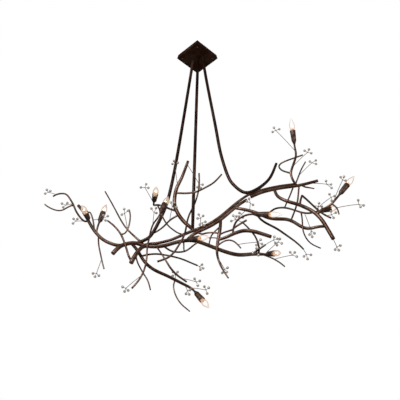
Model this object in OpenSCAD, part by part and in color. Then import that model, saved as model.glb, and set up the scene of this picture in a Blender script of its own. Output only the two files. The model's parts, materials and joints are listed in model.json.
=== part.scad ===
// Branch chandelier: a steel thicket of bent rods hung from a square pan by
// three long rods, with eleven flame bulbs and wire sprigs of glass beads.
// Frame: +Z up, +X right, +Y away from the viewer. The origin is the centre
// of the pan's ceiling face.

/* [Overall] */
// Width over the branches
branch_w = 1630; // [1300:10:2000]
// Depth over the branches, as a share of the drawn depth
branch_depth = 1; // [0.8:0.05:1.2]
// Drop from the ceiling to the middle of the trunk
drop = 1420; // [1200:10:1700]

/* [Ceiling pan] */
// Side of the square pan at its lower edge
pan_w = 196; // [186:1:240]
// Side of the pan at the ceiling
pan_top_w = 186; // [176:1:235]
// Height of the pan
pan_h = 36; // [28:1:50]
// Thickness of the pan's sheet
pan_wall = 3; // [2:0.5:5]
// Diameter of the circle of the four pan screws
screw_circle = 200; // [160:1:206]
// Diameter of a pan screw
screw_d = 5; // [4:0.5:6]
// Diameter of a screw's domed head
screw_head_d = 11; // [9:0.5:14]

/* [Limbs] */
// Diameter of the three hanging rods
rod_d = 19.5; // [14:0.5:21]
// Diameter of the trunk at its cut end
trunk_d = 25; // [20:0.5:28]
// Diameter of a main limb where it starts
limb_d = 19; // [16:0.5:22]
// Diameter of a twig where it starts
twig_d = 11; // [8:0.5:12]

/* [Lamps] */
// Diameter of a candle cup at its foot
cup_d = 28; // [26:0.5:32]
// Diameter of a candle cup at its rim
cup_rim_d = 33; // [32:0.5:36]
// Length of a candle cup's barrel
cup_h = 64; // [56:1:76]
// Length of the taper between a stem and its cup
taper_h = 20; // [14:1:26]
// Thickness of a cup's wall
cup_wall = 2; // [1.5:0.25:3]
// Diameter of the lamp holder inside a cup
holder_d = 21; // [19:0.5:22]
// Diameter of the bulb's screw cap
cap_d = 11.9; // [11.5:0.1:12.1]
// Largest diameter of the bulb's glass
glass_d = 32; // [28:0.5:35]
// Length of the glass from its neck to its tip
glass_h = 84; // [74:1:94]

/* [Sprigs] */
// Diameter of the sprig wire
wire_d = 3.4; // [2:0.1:3.8]
// Diameter of a glass bead
bead_d = 15; // [10:0.5:15]

/* [Hidden] */

// Clearances
cap_gap = 0.06; // between a bulb's cap and its holder, all round
seat_gap = 0.3; // between the end of a bulb's cap and the floor of its holder
hole_gap = 0.5; // between a pan screw and its hole, all round

// The routes below are drawn as the thicket is seen from a point under it and
// in front of it. A route point is [across, down, back]: the first two are
// steps on the sight grid, 400 each way, and the third is millimetres away
// from the viewer. seen() turns a point into the part's own frame.
grid_mid = 200;
grid_focus = 605; // steps from the eye to the grid
eye = [18, -2870, -3152];
eye_tilt = 34.2; // upwards, in degrees
drawn_w = 1630; // width and drop at which the routes were drawn
drawn_drop = 1420;
stretch = [branch_w / drawn_w, branch_w / drawn_w * branch_depth, drop / drawn_drop];

function seen(p) =
    let (back = p[2] - eye[1],
         rise = (grid_mid - p[1]) / grid_focus,
         up = back * (sin(eye_tilt) + rise * cos(eye_tilt))
             / (cos(eye_tilt) - rise * sin(eye_tilt)),
         depth = back * cos(eye_tilt) + up * sin(eye_tilt),
         right = (p[0] - grid_mid) * depth / grid_focus)
    [(eye[0] + right) * stretch[0], p[2] * stretch[1], (eye[2] + up) * stretch[2]];

// A smooth curve through the points of a route, n steps to a stretch
function curve_point(a, b, c, d, t) =
    0.5 * (2 * b + (c - a) * t + (2 * a - 5 * b + 4 * c - d) * t * t
        + (3 * b - 3 * c + d - a) * t * t * t);
function curve(route, n) =
    let (last = len(route) - 1,
         ends = concat([2 * route[0] - route[1]], route, [2 * route[last] - route[last - 1]]))
    [for (i = [0 : last], s = [0 : i == last ? 0 : n - 1])
        curve_point(ends[i], ends[i + 1], ends[i + 2], ends[min(i + 3, last + 2)], s / n)];

// A limb is [route, girths, steps, sides]: girths are diameters at even
// spacing along it, in mm.
function limb(route, girths, steps = 2, sides = 8) = [route, girths, steps, sides];
function girth(girths, t) =
    let (at = t * (len(girths) - 1), i = min(floor(at), len(girths) - 2))
    len(girths) == 1 ? girths[0] : girths[i] + (girths[i + 1] - girths[i]) * (at - i);
function unit(v) = v / norm(v);

// The nearest point of a limb's middle line to a place on the sight grid
function nearest(line, at) =
    let (gaps = [for (p = line) norm([p[0] - at[0], p[1] - at[1]])],
         least = min(gaps))
    [for (i = [0 : len(line) - 1]) if (gaps[i] == least) line[i]][0];
function foot(parent, at) = nearest(curve(parent[0], 12), at);

// Rings of points square to the limb's middle line
function rings(l) =
    let (line = [for (p = curve(l[0], l[2])) seen(p)],
         last = len(line) - 1)
    [for (i = [0 : last])
        let (along = unit(line[min(i + 1, last)] - line[max(i - 1, 0)]),
             side = unit(cross(along, abs(along[1]) > 0.9 ? [0, 0, 1] : [0, 1, 0])),
             over = cross(side, along),
             r = girth(l[1], i / last) / 2)
        [for (k = [0 : l[3] - 1])
            let (a = 360 * (k + 0.5) / l[3])
            line[i] + r * (cos(a) * side + sin(a) * over)]];
function heading(l) =
    let (line = [for (p = curve(l[0], l[2])) seen(p)], last = len(line) - 1)
    [line[last], unit(line[last] - line[last - 1])];

module span(a, b) {
    n = len(a);
    hull()
        polyhedron(
            concat(a, b),
            concat(
                [[for (k = [0 : n - 1]) k]],
                [[for (k = [n - 1 : -1 : 0]) k + n]],
                [for (k = [0 : n - 1]) [k, k + n, (k + 1) % n]],
                [for (k = [0 : n - 1]) [k + n, (k + 1) % n + n, (k + 1) % n]]));
}

module tube(l) {
    all = rings(l);
    for (i = [0 : len(all) - 2])
        span(all[i], all[i + 1]);
}

// A limb with its ends coped to the limbs that it is welded to
module welded(l, onto = []) {
    difference() {
        tube(l);
        for (other = onto)
            tube(other);
    }
}

// A limb cut off flush with the underside of the pan
module hung(l, onto) {
    difference() {
        welded(l, onto);
        translate([-pan_w / 2, -pan_w / 2, -pan_h])
            cube([pan_w, pan_w, pan_h * 2]);
    }
}

// Moves children from the z axis to a place, pointing along a direction
module aim(place, along) {
    turn = atan2(along[1], along[0]);
    lean = acos(along[2]);
    translate(place)
        rotate([0, lean, turn])
            children();
}

// Hanging rods
ROD_TOP = 56; // just above the underside of the pan, down the sight grid
ROD_MIDDLE = limb([[198, ROD_TOP, -12], [192.5, 228.7, 0]], [rod_d], 1, 12);
ROD_RIGHT = limb([[202.4, ROD_TOP, -24], [206.5, 81, -16], [215.9, 128, -6], [220.4, 153, -2],
    [228.1, 177, -8],
    [233.8, 185, -13], [240.8, 191, -20], [247, 192.8, -27], [254, 190.8, -33], [262.8, 185.3, -38],
    [270.8, 177, -42], [276.3, 163.5, -46]], rod_d * [1, 1, 1, 1, 0.8], 2, 12);

// Main limbs
TRUNK = limb([[112.8, 253.5, -28], [118.5, 247.5, -20], [125, 244.2, -12], [135.5, 242.8, -5],
    [144.5, 246, 0],
    [161, 246.6, 0], [177, 242, 0], [192.5, 240.2, 0], [207.5, 245, 4], [223.5, 251.2, 8],
    [238, 255, 14], [250, 254.2, 20], [258, 254, 16], [263.5, 254.4, 3], [266.5, 254.2, -21]],
    trunk_d * [1, 0.92, 0.84, 0.84, 0.84, 0.88, 0.78, 0.42], 2, 10);
ROD_LEFT = limb([[193.8, ROD_TOP, 16], [187, 98, 8], [176.5, 160.6, 2], [170, 192, 0], [165, 208.8, 0],
    [156.8, 226, 0], [150.5, 236.2, 0], [144.5, 240.2, 0], foot(TRUNK, [137, 243])], [rod_d], 2, 12);
TRUNK_UPPER = limb([foot(TRUNK, [143, 245]), [150, 243.8, 4], [157.4, 243.3, 5], [170.2, 240.2, 5],
    [176.5, 237.6, 5], [187, 233.2, 4], [196, 229.5, 2]], limb_d * [0.86, 0.86, 0.95], 2, 8);
RIGHT_UPPER = limb([foot(TRUNK_UPPER, [191, 231.5]), [200, 228, 0], [208, 224.5, -4],
    [215.5, 220, -8], [222, 215.3, -11], [230, 208.4, -15], [238, 201.8, -19], [248, 195, -24],
    [260, 190.3, -31], [279, 186, -46], [296, 183.8, -61]],
    limb_d * [0.85, 0.85, 0.85, 0.8, 0.7, 0.6], 2, 8);
RIGHT_LOWER = limb([foot(TRUNK, [188, 240]), [192.5, 235, 0], [200.2, 230.7, -2], [208.2, 227.2, -4],
    [216.6, 222.4, -8], [223.6, 217.4, -11], [231.6, 210.6, -15], [239.6, 204.2, -19],
    [246.8, 199.8, -23]],
    limb_d * [1.05, 1, 1, 0.9], 2, 10);
RIGHT_OUTER = limb([[250.8, 196.9, -24], [257, 194.1, -28], [265, 191.3, -35], [279.7, 188.1, -47],
    [295.9, 186, -62], [307, 183.6, -72], [317.8, 180.7, -82]], limb_d * [1.05, 1.05, 0.95, 0.9], 2, 10);
LEFT = limb([foot(TRUNK, [127, 244]), [119.3, 245.6, 0], [111, 243.6, 6], [102.1, 239.1, 15],
    [93.8, 230.2, 26], [88, 220, 38], [83.2, 211.4, 48], [78.4, 205.6, 56]],
    limb_d * [1.03, 1, 0.96, 0.93], 2, 10);
RISING = limb([foot(TRUNK_UPPER, [194, 230]), [189.3, 226.3, 0], [184.8, 222.5, -2], [179, 215.5, -6],
    [174.8, 206.5, -12], [174.6, 198, -18], [176.8, 187.4, -26], [181.8, 178, -34], [188, 161.3, -48]],
    limb_d * [1, 1.18, 1.2, 1.14, 0.84], 2, 10);
FORK = limb([foot(RIGHT_LOWER, [236, 209]), [244.6, 209.6, -32], [253, 211.7, -38], [261.2, 214.8, -43],
    [269, 218, -48], [277, 219, -51], [286.4, 219.2, -55], [294, 222, -58], [302.3, 227.3, -64],
    [310, 228.5, -80], [318, 226.7, -100], [324.6, 226.3, -118]],
    limb_d * [0.92, 1.06, 1.06, 0.98, 0.78], 2, 8);
DROPPING = limb([foot(RIGHT_LOWER, [221, 220]), [220.3, 227, -16], [219, 235.5, -20], [217.4, 244, -12],
    [217, 252, -8], [217.9, 258, -18], [221.5, 267.5, -30], [228.3, 278, -42]],
    limb_d * [0.85, 1.1, 0.85, 0.6, 0.4], 2, 8);
LOW = limb([foot(DROPPING, [217.6, 239.6]), [225.5, 237.6, -28], [233, 234, -34], [240.8, 231.2, -40],
    [247.2, 230.6, -45], [254.2, 231.5, -50], [262, 233.8, -56], [271.1, 236.8, -64]],
    limb_d * [0.8, 1.08, 1.18, 1.06], 2, 8);
OUTER = limb([foot(RIGHT_OUTER, [274, 190]), [276.5, 194.9, -60], [281, 198.7, -72], [289.6, 202.1, -86],
    [297.9, 204.3, -94], [305.5, 207.5, -100], [314, 212, -107], [321.5, 219.3, -116], [327, 228, -123],
    [333.3, 238.8, -130]], limb_d * [0.88, 1.02, 1.1, 1.18, 1.18], 2, 8);
LOWER_LEFT = limb([foot(TRUNK, [131.5, 243.5]), [134.5, 246.8, 6], [138.9, 252.5, 13], [144.6, 262.1, 19],
    [154.2, 270, 28], [167, 275.7, 40], [180.6, 282.7, 52], [191, 288, 58], [194.8, 291.6, 46]],
    limb_d * [0.9, 0.95, 0.95, 0.85, 0.55], 2, 8);
STUB = limb([foot(TRUNK, [146, 246]), [141.4, 247.8, -14], [136, 254, -22], [131.1, 262.9, -30]],
    trunk_d * [0.8, 0.9, 1], 4, 10);

MAINS = [
    ["trunk", TRUNK, []],
    ["trunk_upper", TRUNK_UPPER, [TRUNK]],
    ["limb_right_upper", RIGHT_UPPER, [TRUNK_UPPER]],
    ["limb_right_lower", RIGHT_LOWER, [TRUNK, RIGHT_UPPER]],
    ["limb_right_outer", RIGHT_OUTER, [RIGHT_UPPER]],
    ["limb_left", LEFT, [TRUNK]],
    ["limb_rising", RISING, [TRUNK_UPPER, RIGHT_UPPER]],
    ["limb_fork", FORK, [RIGHT_LOWER, OUTER]],
    ["limb_dropping", DROPPING, [RIGHT_LOWER, RIGHT_UPPER, TRUNK]],
    ["limb_low", LOW, [DROPPING]],
    ["limb_outer", OUTER, [RIGHT_OUTER]],
    ["limb_lower_left", LOWER_LEFT, [TRUNK]]
];
RODS = [
    ["rod_left", ROD_LEFT, [TRUNK]],
    ["rod_middle", ROD_MIDDLE, [TRUNK_UPPER, RIGHT_UPPER, RISING]],
    ["rod_right", ROD_RIGHT, [RIGHT_UPPER]]
];

// Twigs
THIN = twig_d * [0.85, 0.7];
PLAIN = twig_d * [1, 0.8];
STOUT = twig_d * [1.2, 0.9];
STEM = twig_d * [1.1, 1];

// Twigs of the left limb
CURL = limb([foot(LEFT, [88, 221.5]), [84.2, 221.3, 42], [79.7, 216.8, 48], [75.9, 211, 54],
    [73.4, 204.7, 60],
    [70.8, 200.2, 64], [67.6, 195.4, 68], [63.8, 193.5, 70], [57.4, 194.1, 72], [53, 196.4, 74]],
    twig_d * [1.1, 0.9]);
CURL_SIDE = limb([foot(CURL, [73.4, 204.7]), [67, 207.6, 56], [61.9, 210.4, 52], [56, 210.3, 48],
    [49.1, 207.5, 44], [44.7, 204.3, 40]], THIN);
STEM_1 = limb([foot(LEFT, [94.5, 231]), [93.6, 223.5, 14], [92.2, 217, 6], [90, 212.3, 4],
    [87.2, 213.4, 8],
    [87.2, 218.2, 14], [89.5, 221.5, -8], [88.8, 219.9, -32]], THIN, 3);
STEM_2 = limb([foot(LEFT, [96.5, 234]), [96.8, 230.2, 22], [98.1, 225.5, 26],
    [99.2, 222.6, 32]], STEM, 4);
HANG_LEFT = limb([foot(LEFT, [98, 235.5]), [98.6, 244.2, 12], [100.2, 252.5, 6], [102.1, 261.4, 2],
    [104, 268.8, 0]], THIN);

// Twigs round the stub
FRONT_LEFT = limb([foot(STUB, [131.5, 261]), [128.7, 256.3, -42], [126.6, 249, -40], [124.4, 242.6, -38],
    [122, 236.5, -38], [118.5, 230.8, -40], [113.5, 225.3, -44], [107.5, 220.6, -50]], STOUT);
FRONT_SIDE = limb([foot(FRONT_LEFT, [121, 234.8]), [124.6, 233.4, -38], [127.6, 229.5, -36],
    [129.7, 222.5, -38], [130.3, 215.5, -42], [129.3, 209.8, -46]], THIN, 3);
BACK_LEFT = limb([foot(TRUNK, [145, 246]), [140, 241.2, 15], [135.7, 237.5, 16], [131.9, 234, 15],
    [127.4, 229.5, 14], [123, 223.7, 16], [118.5, 215.8, 22], [112.8, 205, 30], [105.1, 191.5, 40]],
    twig_d * [1.3, 0.9, 0.7]);
FORK_LEFT = limb([foot(STUB, [135.5, 255]), [137.4, 262.1, -4], [140.2, 267.8, 6], [143.4, 273.5, 10],
    [147.2, 279.3, 12], [149.1, 284.4, 12], [150.4, 290, 12]], twig_d * [0.78, 0.66]);

// Twigs round the left rod
CROSSING = limb([[131.9, 288.2, -12], [137.6, 281.8, -10], [142.1, 274.8, -10], [144.8, 268, -11],
    [146.2, 262.1, -12], [146.9, 256, -13], [147, 250.6, -14], [147.7, 244.2, -15], [149.1, 239.1, -27],
    [150.8, 230.5, -52], [153.4, 223.6, -76], [157, 219, -92], [159, 215.9, -96],
    [160.3, 213.3, -90]], PLAIN);
TOWARD = limb([foot(RISING, [176, 211]), [170.2, 209.1, 8], [165.5, 207.1, 24], [161.2, 205.5, 32],
    [156.8, 204.8, 28], [153.7, 205.4, 4], [153.9, 202.3, -32]], STEM);
SLOPING = limb([foot(TOWARD, [157, 204]), [158.7, 207.5, 8], [161.2, 213.4, -19], [163.8, 219.3, -22],
    [167.6, 225.1, -20], [172.7, 229.5, -16], [177.8, 232.9, -8], foot(TRUNK_UPPER, [183, 234])], THIN);
BRACE = limb([foot(RISING, [178.6, 214.4]), [170.2, 220, 4], [163.8, 226.4, 7], [157.4, 231.2, 5],
    foot(ROD_LEFT, [152, 233.5])], PLAIN, 3);

// Twigs round the middle rod
WHIP = limb([[199, 173.4, 6], [199.3, 179.7, 9], [199, 185.5, 12], [198.4, 191.2, 16], [196.8, 197.6, 20],
    [194.6, 204, 21], [191.7, 209.7, 19], [188.8, 215.8, 13], [187, 222.6, -3], [186.2, 227, -17],
    [185, 233, -38], [182.3, 239.3, -46], [178.3, 246, -42], [173.7, 252.8, -30], [168.4, 257.4, -18],
    [163, 259.7, -12], [157.3, 261.6, -8]], twig_d * [0.9, 0.9, 1, 1.1]);
REACHING = limb([foot(RISING, [175.3, 192.8]), [184.7, 193.4, -28], [193.6, 192.5, -34],
    [198.7, 190.9, -38],
    [205.1, 187.7, -42], [211.5, 184.2, -47], [215.9, 180.7, -50], [221.7, 174.3, -56]],
    twig_d * [1.1, 0.92]);
STEM_5 = limb([foot(TRUNK, [177, 242]), [181.5, 241.4, -9.5], [184.6, 240.9, -13.5],
    [187.5, 240.4, -26]], STEM, 3);
BRIDGE = limb([foot(RIGHT_LOWER, [197, 232.5]), [202, 234, -4], [206.6, 233, -8], [212.5, 232.6, -14],
    foot(DROPPING, [218, 232.8])], PLAIN, 3);

// Twigs under the trunk
SAG = limb([foot(TRUNK, [163.5, 246.5]), [169.9, 250.5, 4], [176, 252.1, 6], [183.7, 251.7, 6],
    [189, 249, 5],
    [193.6, 245.2, 3], foot(TRUNK, [198.5, 241.7])], PLAIN);
SAG_TIE = limb([foot(TRUNK, [184, 240.8]), [183.8, 245, 3], [183.8, 248.4, 5], foot(SAG, [184.4, 251.6])],
    THIN, 3);
LONG_LOW = limb([foot(LOWER_LEFT, [141.5, 256.5]), [147.8, 254.6, 17], [156.1, 253.9, 20],
    [163.8, 254.8, 24],
    [172.1, 256.4, 28], [181.6, 258.9, 32], [189.3, 262.1, 36], [197.6, 265.6, 40]], PLAIN);
STEEP_LOW = limb([foot(TRUNK, [157, 246.5]), [159.6, 251, -22], [162.6, 255.6, -32], [166.3, 261.3, -34],
    [170, 267.3, -32], [175.2, 273.5, -28], [180.6, 277.7, -24], [186.7, 281.9, -20]],
    twig_d * [0.8, 0.8, 1.1, 0.9]);
HOOK_LOW = limb([foot(LOWER_LEFT, [175.2, 280]), [173.7, 284.4, 37], [173.7, 288.4, 34],
    [175.2, 294.2, 30],
    [178.3, 300.3, 26], [182.1, 304.9, 23], [186, 308.3, 21], [189.8, 311.4, 20]],
    twig_d * [0.75, 0.62]);

// Twigs between the trunk and the right limbs
STRUT = limb([foot(DROPPING, [219.8, 226.5]), [214.4, 231.9, 0],
    [210.8, 237, 3], foot(TRUNK, [208.6, 245])],
    THIN, 3);
SHORT_TIE = limb([foot(DROPPING, [217.6, 238]), [213.5, 237.8, -26],
    [208.8, 238, -28]], twig_d * [0.55, 0.5], 4);
ARCH = limb([foot(DROPPING, [217.2, 246]), [222.3, 242.1, -22], [227.4, 240.2, -26], [231.9, 240.5, -30],
    [235.7, 242.7, -34], [238.9, 245.9, -38], [240.8, 248.1, -40]], THIN);
CROOK = limb([foot(DROPPING, [218, 234.5]), [225.5, 231.9, -20], [231.9, 230, -18], [235.7, 226.8, -20],
    [240.8, 223.6, -24], [246.6, 220.2, -30]], twig_d * [0.85, 1.1]);
LEANING = limb([foot(TRUNK, [258.5, 254]), [259.2, 248.6, 20], [258, 243.3, 2], [256.2, 238.2, -20],
    [253.4, 233.8, -36], [250, 229.8, -34], [246, 225.6, -20], [242, 222, -6]], PLAIN);
STEM_6 = limb([foot(LOW, [233.2, 233.8]), [233.4, 228.4, -50], [235.7, 222.3, -66], [239.5, 218.4, -76],
    [244.6, 215.7, -82], [249.6, 214.4, -83], [253.4, 214.3, -86]], STEM);
LONG_RIGHT = limb([foot(FORK, [256.5, 213.2]), [260, 218.8, -34], [267, 223.6, -30], [276.5, 228.4, -28],
    [284, 233.5, -26], [292.8, 239.7, -24], [299.1, 244.8, -22], [303.6, 249.3, -20]],
    twig_d * [1.15, 1.2, 1, 0.8]);
PEG = limb([foot(TRUNK, [252.5, 254]), [257.4, 250.4, 8], [261.6, 247.4, 0],
    [265.7, 244.6, -6]], STOUT, 3);
LAST_LOW = limb([foot(TRUNK, [262, 254.2]), [267.5, 256.3, 8], [273.3, 258.7, 6], [279.7, 262.5, 2],
    [284.8, 266.6, 0]], THIN);

// Twigs of the right limbs
RIGHT_TIP = limb([foot(RIGHT_OUTER, [301.8, 184.8]), [304.6, 186.8, -62], [308.7, 187.6, -58],
    [314.4, 188.6, -58]], twig_d * [1.1, 0.6], 3);
STEM_7 = limb([foot(RIGHT_OUTER, [297, 185.6]), [293.2, 180.8, -80], [290.9, 174.2, -86],
    [292, 168.2, -92],
    [294.3, 161.9, -98], [295.9, 156.2, -102], [295.7, 151.6, -106], [294.9, 147.8, -114],
    [294.4, 144.3, -123]], twig_d * [1.3, 1.3, 1]);
HAIRPIN = limb([foot(STEM_7, [290.7, 173]), [285.9, 171.9, -88], [281.3, 170, -94], [278.8, 166.5, -102],
    [281.3, 163.1, -114], [287.4, 160.4, -124], [295.1, 157.7, -130], [302.7, 155, -134]],
    twig_d * [0.95, 0.8]);
UPRIGHT = limb([foot(RIGHT_OUTER, [295, 186.2]), [298.2, 177.2, -58], [301.2, 169.6, -54],
    [305.4, 161.9, -50]], THIN, 3);
TIE_1 = limb([foot(RIGHT_OUTER, [298.8, 185.4]), [298.2, 195.7, -52], [297.4, 202.1, -46],
    [295.6, 208.4, -42],
    [293.7, 213.6, -46], foot(FORK, [290.6, 220.6])], twig_d * [0.9]);
STEM_9 = limb([foot(FORK, [266, 216.8]), [270.8, 211.5, -50], [275.3, 208.6, -52], [281.6, 207.6, -54],
    [289.3, 208.5, -56], [299.1, 211.7, -62], [306.8, 213.3, -74], [313, 212.6, -80], [317, 211.4, -71],
    [320, 210.8, -60]], twig_d * [1, 0.95]);
TIE_2 = limb([foot(RIGHT_OUTER, [294, 186.4]), [289.6, 196.4, -56], [286.6, 203, -54],
    foot(STEM_9, [284.4, 207.7])], THIN, 3);
STEM_8 = limb([foot(OUTER, [317.5, 215]), [321.4, 210.3, -122], [327.2, 207, -130], [331.7, 203.8, -142],
    [336.3, 198.5, -152], [339.2, 194.9, -154]], twig_d * [1.1, 1.2, 1.1]);
SPUR = limb([foot(STEM_8, [331.7, 204]), [334.8, 205.9, -142], [337.4, 209.1, -146], [339, 214.2, -148]],
    twig_d * [0.85, 0.7], 3);
BENT_1 = limb([foot(OUTER, [299.8, 205]), [300.6, 200.2, -98], [302, 195.4, -98]], twig_d * [1.2, 1], 5);
BENT_2 = limb([[302, 195.4, -98], [307.4, 200.2, -92], [314.4, 206.8, -84], [319.6, 211.4, -82],
    [324.6, 214.8, -86], [331, 218, -92]], twig_d * [1.1, 0.95]);
SWEEP = limb([foot(STEM_9, [301.4, 212.3]), [302.3, 220, -72], [302.6, 227.6, -77], [303.9, 233.3, -76],
    [306.8, 239.1, -72], [311.9, 244.2, -68], [320.8, 248.3, -64]], twig_d * [0.78, 0.64]);

// Each group: [node, [[twig, limbs of other nodes that it is coped to], ...]]
TWIG_GROUPS = [
    ["twigs_left", [[CURL, [LEFT]], [CURL_SIDE, []], [STEM_1, [LEFT]], [STEM_2, [LEFT]],
        [HANG_LEFT, [LEFT]]]],
    ["twigs_stub", [[STUB, [TRUNK, TRUNK_UPPER]], [FRONT_LEFT, []], [FRONT_SIDE, []],
        [BACK_LEFT, [TRUNK, TRUNK_UPPER, ROD_LEFT]], [FORK_LEFT, []]]],
    ["twigs_rods", [[CROSSING, [TRUNK]], [TOWARD, [RISING]], [BRACE, [RISING, ROD_LEFT]],
        [SLOPING, [TRUNK_UPPER]], [WHIP, [RISING]], [REACHING, [RISING]]]],
    ["twigs_under", [[SAG, [TRUNK]], [SAG_TIE, [TRUNK]], [LONG_LOW, [LOWER_LEFT]],
        [STEEP_LOW, [TRUNK]], [HOOK_LOW, [LOWER_LEFT]], [STEM_5, [TRUNK]]]],
    ["twigs_inner", [[BRIDGE, [RIGHT_LOWER, DROPPING]], [STRUT, [DROPPING, TRUNK]],
        [SHORT_TIE, [DROPPING, LOW]], [ARCH, [DROPPING]], [CROOK, [DROPPING]],
        [LEANING, [TRUNK, LOW]], [STEM_6, [LOW]], [LONG_RIGHT, [FORK]], [PEG, [TRUNK]],
        [LAST_LOW, [TRUNK]]]],
    ["twigs_right", [[RIGHT_TIP, [RIGHT_OUTER]], [STEM_7, [RIGHT_OUTER, RIGHT_UPPER]],
        [HAIRPIN, []], [UPRIGHT, [RIGHT_OUTER, RIGHT_UPPER]], [TIE_1, [RIGHT_OUTER, FORK]],
        [TIE_2, [RIGHT_OUTER]], [STEM_9, [FORK]], [SWEEP, [FORK]], [STEM_8, [OUTER]], [SPUR, []],
        [BENT_1, [OUTER]], [BENT_2, []]]]
];

// The lamps stand on the ends of these limbs
STEMS = [STEM_1, STEM_2, TOWARD, CROSSING, STEM_5, STEM_6, STEM_7, STEM_8, STEM_9, TRUNK, LOWER_LEFT];

// Sprigs: [limb, place of the foot, fork, [beads]]. The fork is [across, down,
// how far back from the foot], and the beads are places on the sight grid.
SPRIGS = [
    [CURL, [56, 194.6], [48.2, 192.3, -4], [[45.2, 193.6], [46.8, 189.8], [50.4, 190.9]]],
    [CURL, [73, 204], [65.8, 205.2, -10], [[61.9, 203.6], [63.2, 207.2], [67.4, 202.9]]],
    [CURL, [84, 220.5], [75.5, 221.2, -6], [[73.6, 218.8], [73, 223.4], [77.4, 218.9]]],
    [STEM_1, [93, 220], [102.4, 219, -34], [[103.6, 215.3], [107.8, 216.1], [105.6, 220.4]]],
    [HANG_LEFT, [101.8, 259], [96.6, 273.2, -12], [[93, 273.4], [95, 276.6], [98.9, 275.6]]],
    [FRONT_SIDE, [127.6, 229.5], [124.6, 213.6, -28], [[124.2, 209], [121.8, 214.6], [128.2, 210.6]]],
    [TOWARD, [155, 203.6], [144.8, 187.6, -20], [[140.9, 187.4], [146.2, 184.2], [148.4, 187.8]]],
    [BRACE, [169.6, 220.4], [172.2, 206.6, -40], [[170.8, 202.4], [174, 202.8], [176.6, 207.2]]],
    [CROSSING, [152.2, 225], [154, 212.8, 14], [[151.4, 208.5], [156.1, 208.1], [156.4, 213]]],
    [RISING, [177.4, 185.5], [174.8, 164.6, -14], [[174, 160.9], [177.9, 162.9], [172.4, 163.9]]],
    [RISING, [187, 164], [199.4, 184.4, 30], [[202.6, 184.6], [200.6, 187.9], [197.4, 187.2]]],
    [RIGHT_UPPER, [200.4, 228], [200.8, 218.4, -22], [[198.7, 214.5], [203.2, 215.8], [197.6, 218.4]]],
    [RIGHT_UPPER, [202.8, 227], [201.9, 222.6, -24], [[205.4, 221.8], [204.2, 225.2], [199.8, 224.6]]],
    [FORK, [249.6, 210.8], [250.4, 203.2, -30], [[249.1, 198.7], [253, 204.8], [247, 201.4]]],
    [CROOK, [242.8, 222.3], [235.4, 219.6, -10], [[233.2, 215.6], [231.3, 221], [236.4, 216.4]]],
    [FORK, [246.8, 210], [241.8, 214, -16], [[238.8, 216.6], [239.4, 213], [242.8, 217.4]]],
    [STEM_7, [295.5, 151.5], [275.6, 130.4, -6], [[272.6, 132], [273.9, 127.7], [279.3, 129.2]]],
    [STEM_7, [292.4, 167], [307.6, 152.4, 16], [[304.6, 150.7], [309, 149.4], [311.3, 153.2]]],
    [UPRIGHT, [299, 176], [312, 162.8, -8], [[309.9, 161.6], [315.8, 160.4], [316, 164]]],
    [RIGHT_OUTER, [308, 183.4], [326.6, 184.2, 6], [[326, 181], [331, 184.4], [331.6, 188]]],
    [STEM_8, [333.4, 202], [342.6, 180.2, 26], [[340.6, 177.2], [344, 176.7], [345.6, 180.6]]],
    [BENT_2, [317, 209], [331.2, 197.2, 12], [[331.8, 200.8], [334.6, 196], [329.4, 194.2]]],
    [BENT_2, [313.2, 205.8], [318.6, 206.4, 20], [[319, 203.2], [321.8, 206.6], [317.4, 209]]],
    [SPUR, [336.6, 208], [358.8, 204.3, -4], [[358.2, 200.3], [360.4, 206.9], [363.6, 205.4]]],
    [BENT_2, [326.4, 215.8], [331.4, 214.8, -16], [[331, 211.4], [335.8, 212.6], [333.6, 217.8]]],
    [STEM_9, [304.4, 213], [311.2, 230.6, -44], [[309.6, 234.6], [312.2, 236.8], [314.5, 233.3]]],
    [OUTER, [332.4, 237], [336.8, 246.8, -4], [[335.2, 249.6], [338.8, 250.2], [340.3, 245.5]]],
    [LONG_RIGHT, [303, 248.8], [306.2, 254, 4], [[304, 256.4], [307.6, 259], [310.9, 254.8]]],
    [LAST_LOW, [274.6, 259.4], [292.4, 255.2, -8], [[290.2, 252.2], [294.8, 252.4], [296.8, 256.6]]],
    [TRUNK, [264.6, 254.3], [278, 242, -36], [[280, 238.9], [281.8, 243.4], [277, 245.2]]],
    [PEG, [264.8, 245.2], [273.6, 240, -8], [[274.4, 236.8], [277.4, 238.8], [275.4, 243]]],
    [ARCH, [237.4, 244.6], [257.8, 242.2, -8], [[260.6, 239.7], [261.9, 244], [256.4, 245.2]]],
    [TRUNK, [255, 254.2], [255.6, 251.6, -26], [[252.9, 252.8], [256.5, 248.6], [258.3, 255.2]]],
    [DROPPING, [218, 258], [224.6, 269.4, 26], [[222.3, 272.9], [226.8, 272], [227.6, 267.8]]],
    [LONG_LOW, [196.8, 265.2], [199.4, 266.6, -8], [[202, 264.6], [200.4, 269.6], [203.2, 268.2]]],
    [STEEP_LOW, [181.6, 278.4], [196.4, 282, -6], [[199.8, 280.9], [197.8, 285.5], [194.6, 278.8]]],
    [LOWER_LEFT, [190.8, 288.1], [206, 290, -8], [[208.8, 287.8], [207.2, 293.5], [204.4, 286.6]]],
    [LOWER_LEFT, [184.8, 285], [187.4, 290.6, -12], [[186, 293.8], [189.2, 294.4], [190, 290]]],
    [LOWER_LEFT, [175.8, 279.6], [175.6, 274.2, -27], [[173, 271.9], [177.6, 272], [172.6, 276]]],
    [CROSSING, [141.8, 275.2], [125.8, 288.2, -8], [[122.6, 286.9], [124.6, 291.4], [128.2, 290.4]]]
];
prong_spread = 5; // millimetres between the beads of a sprig, front to back

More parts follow.
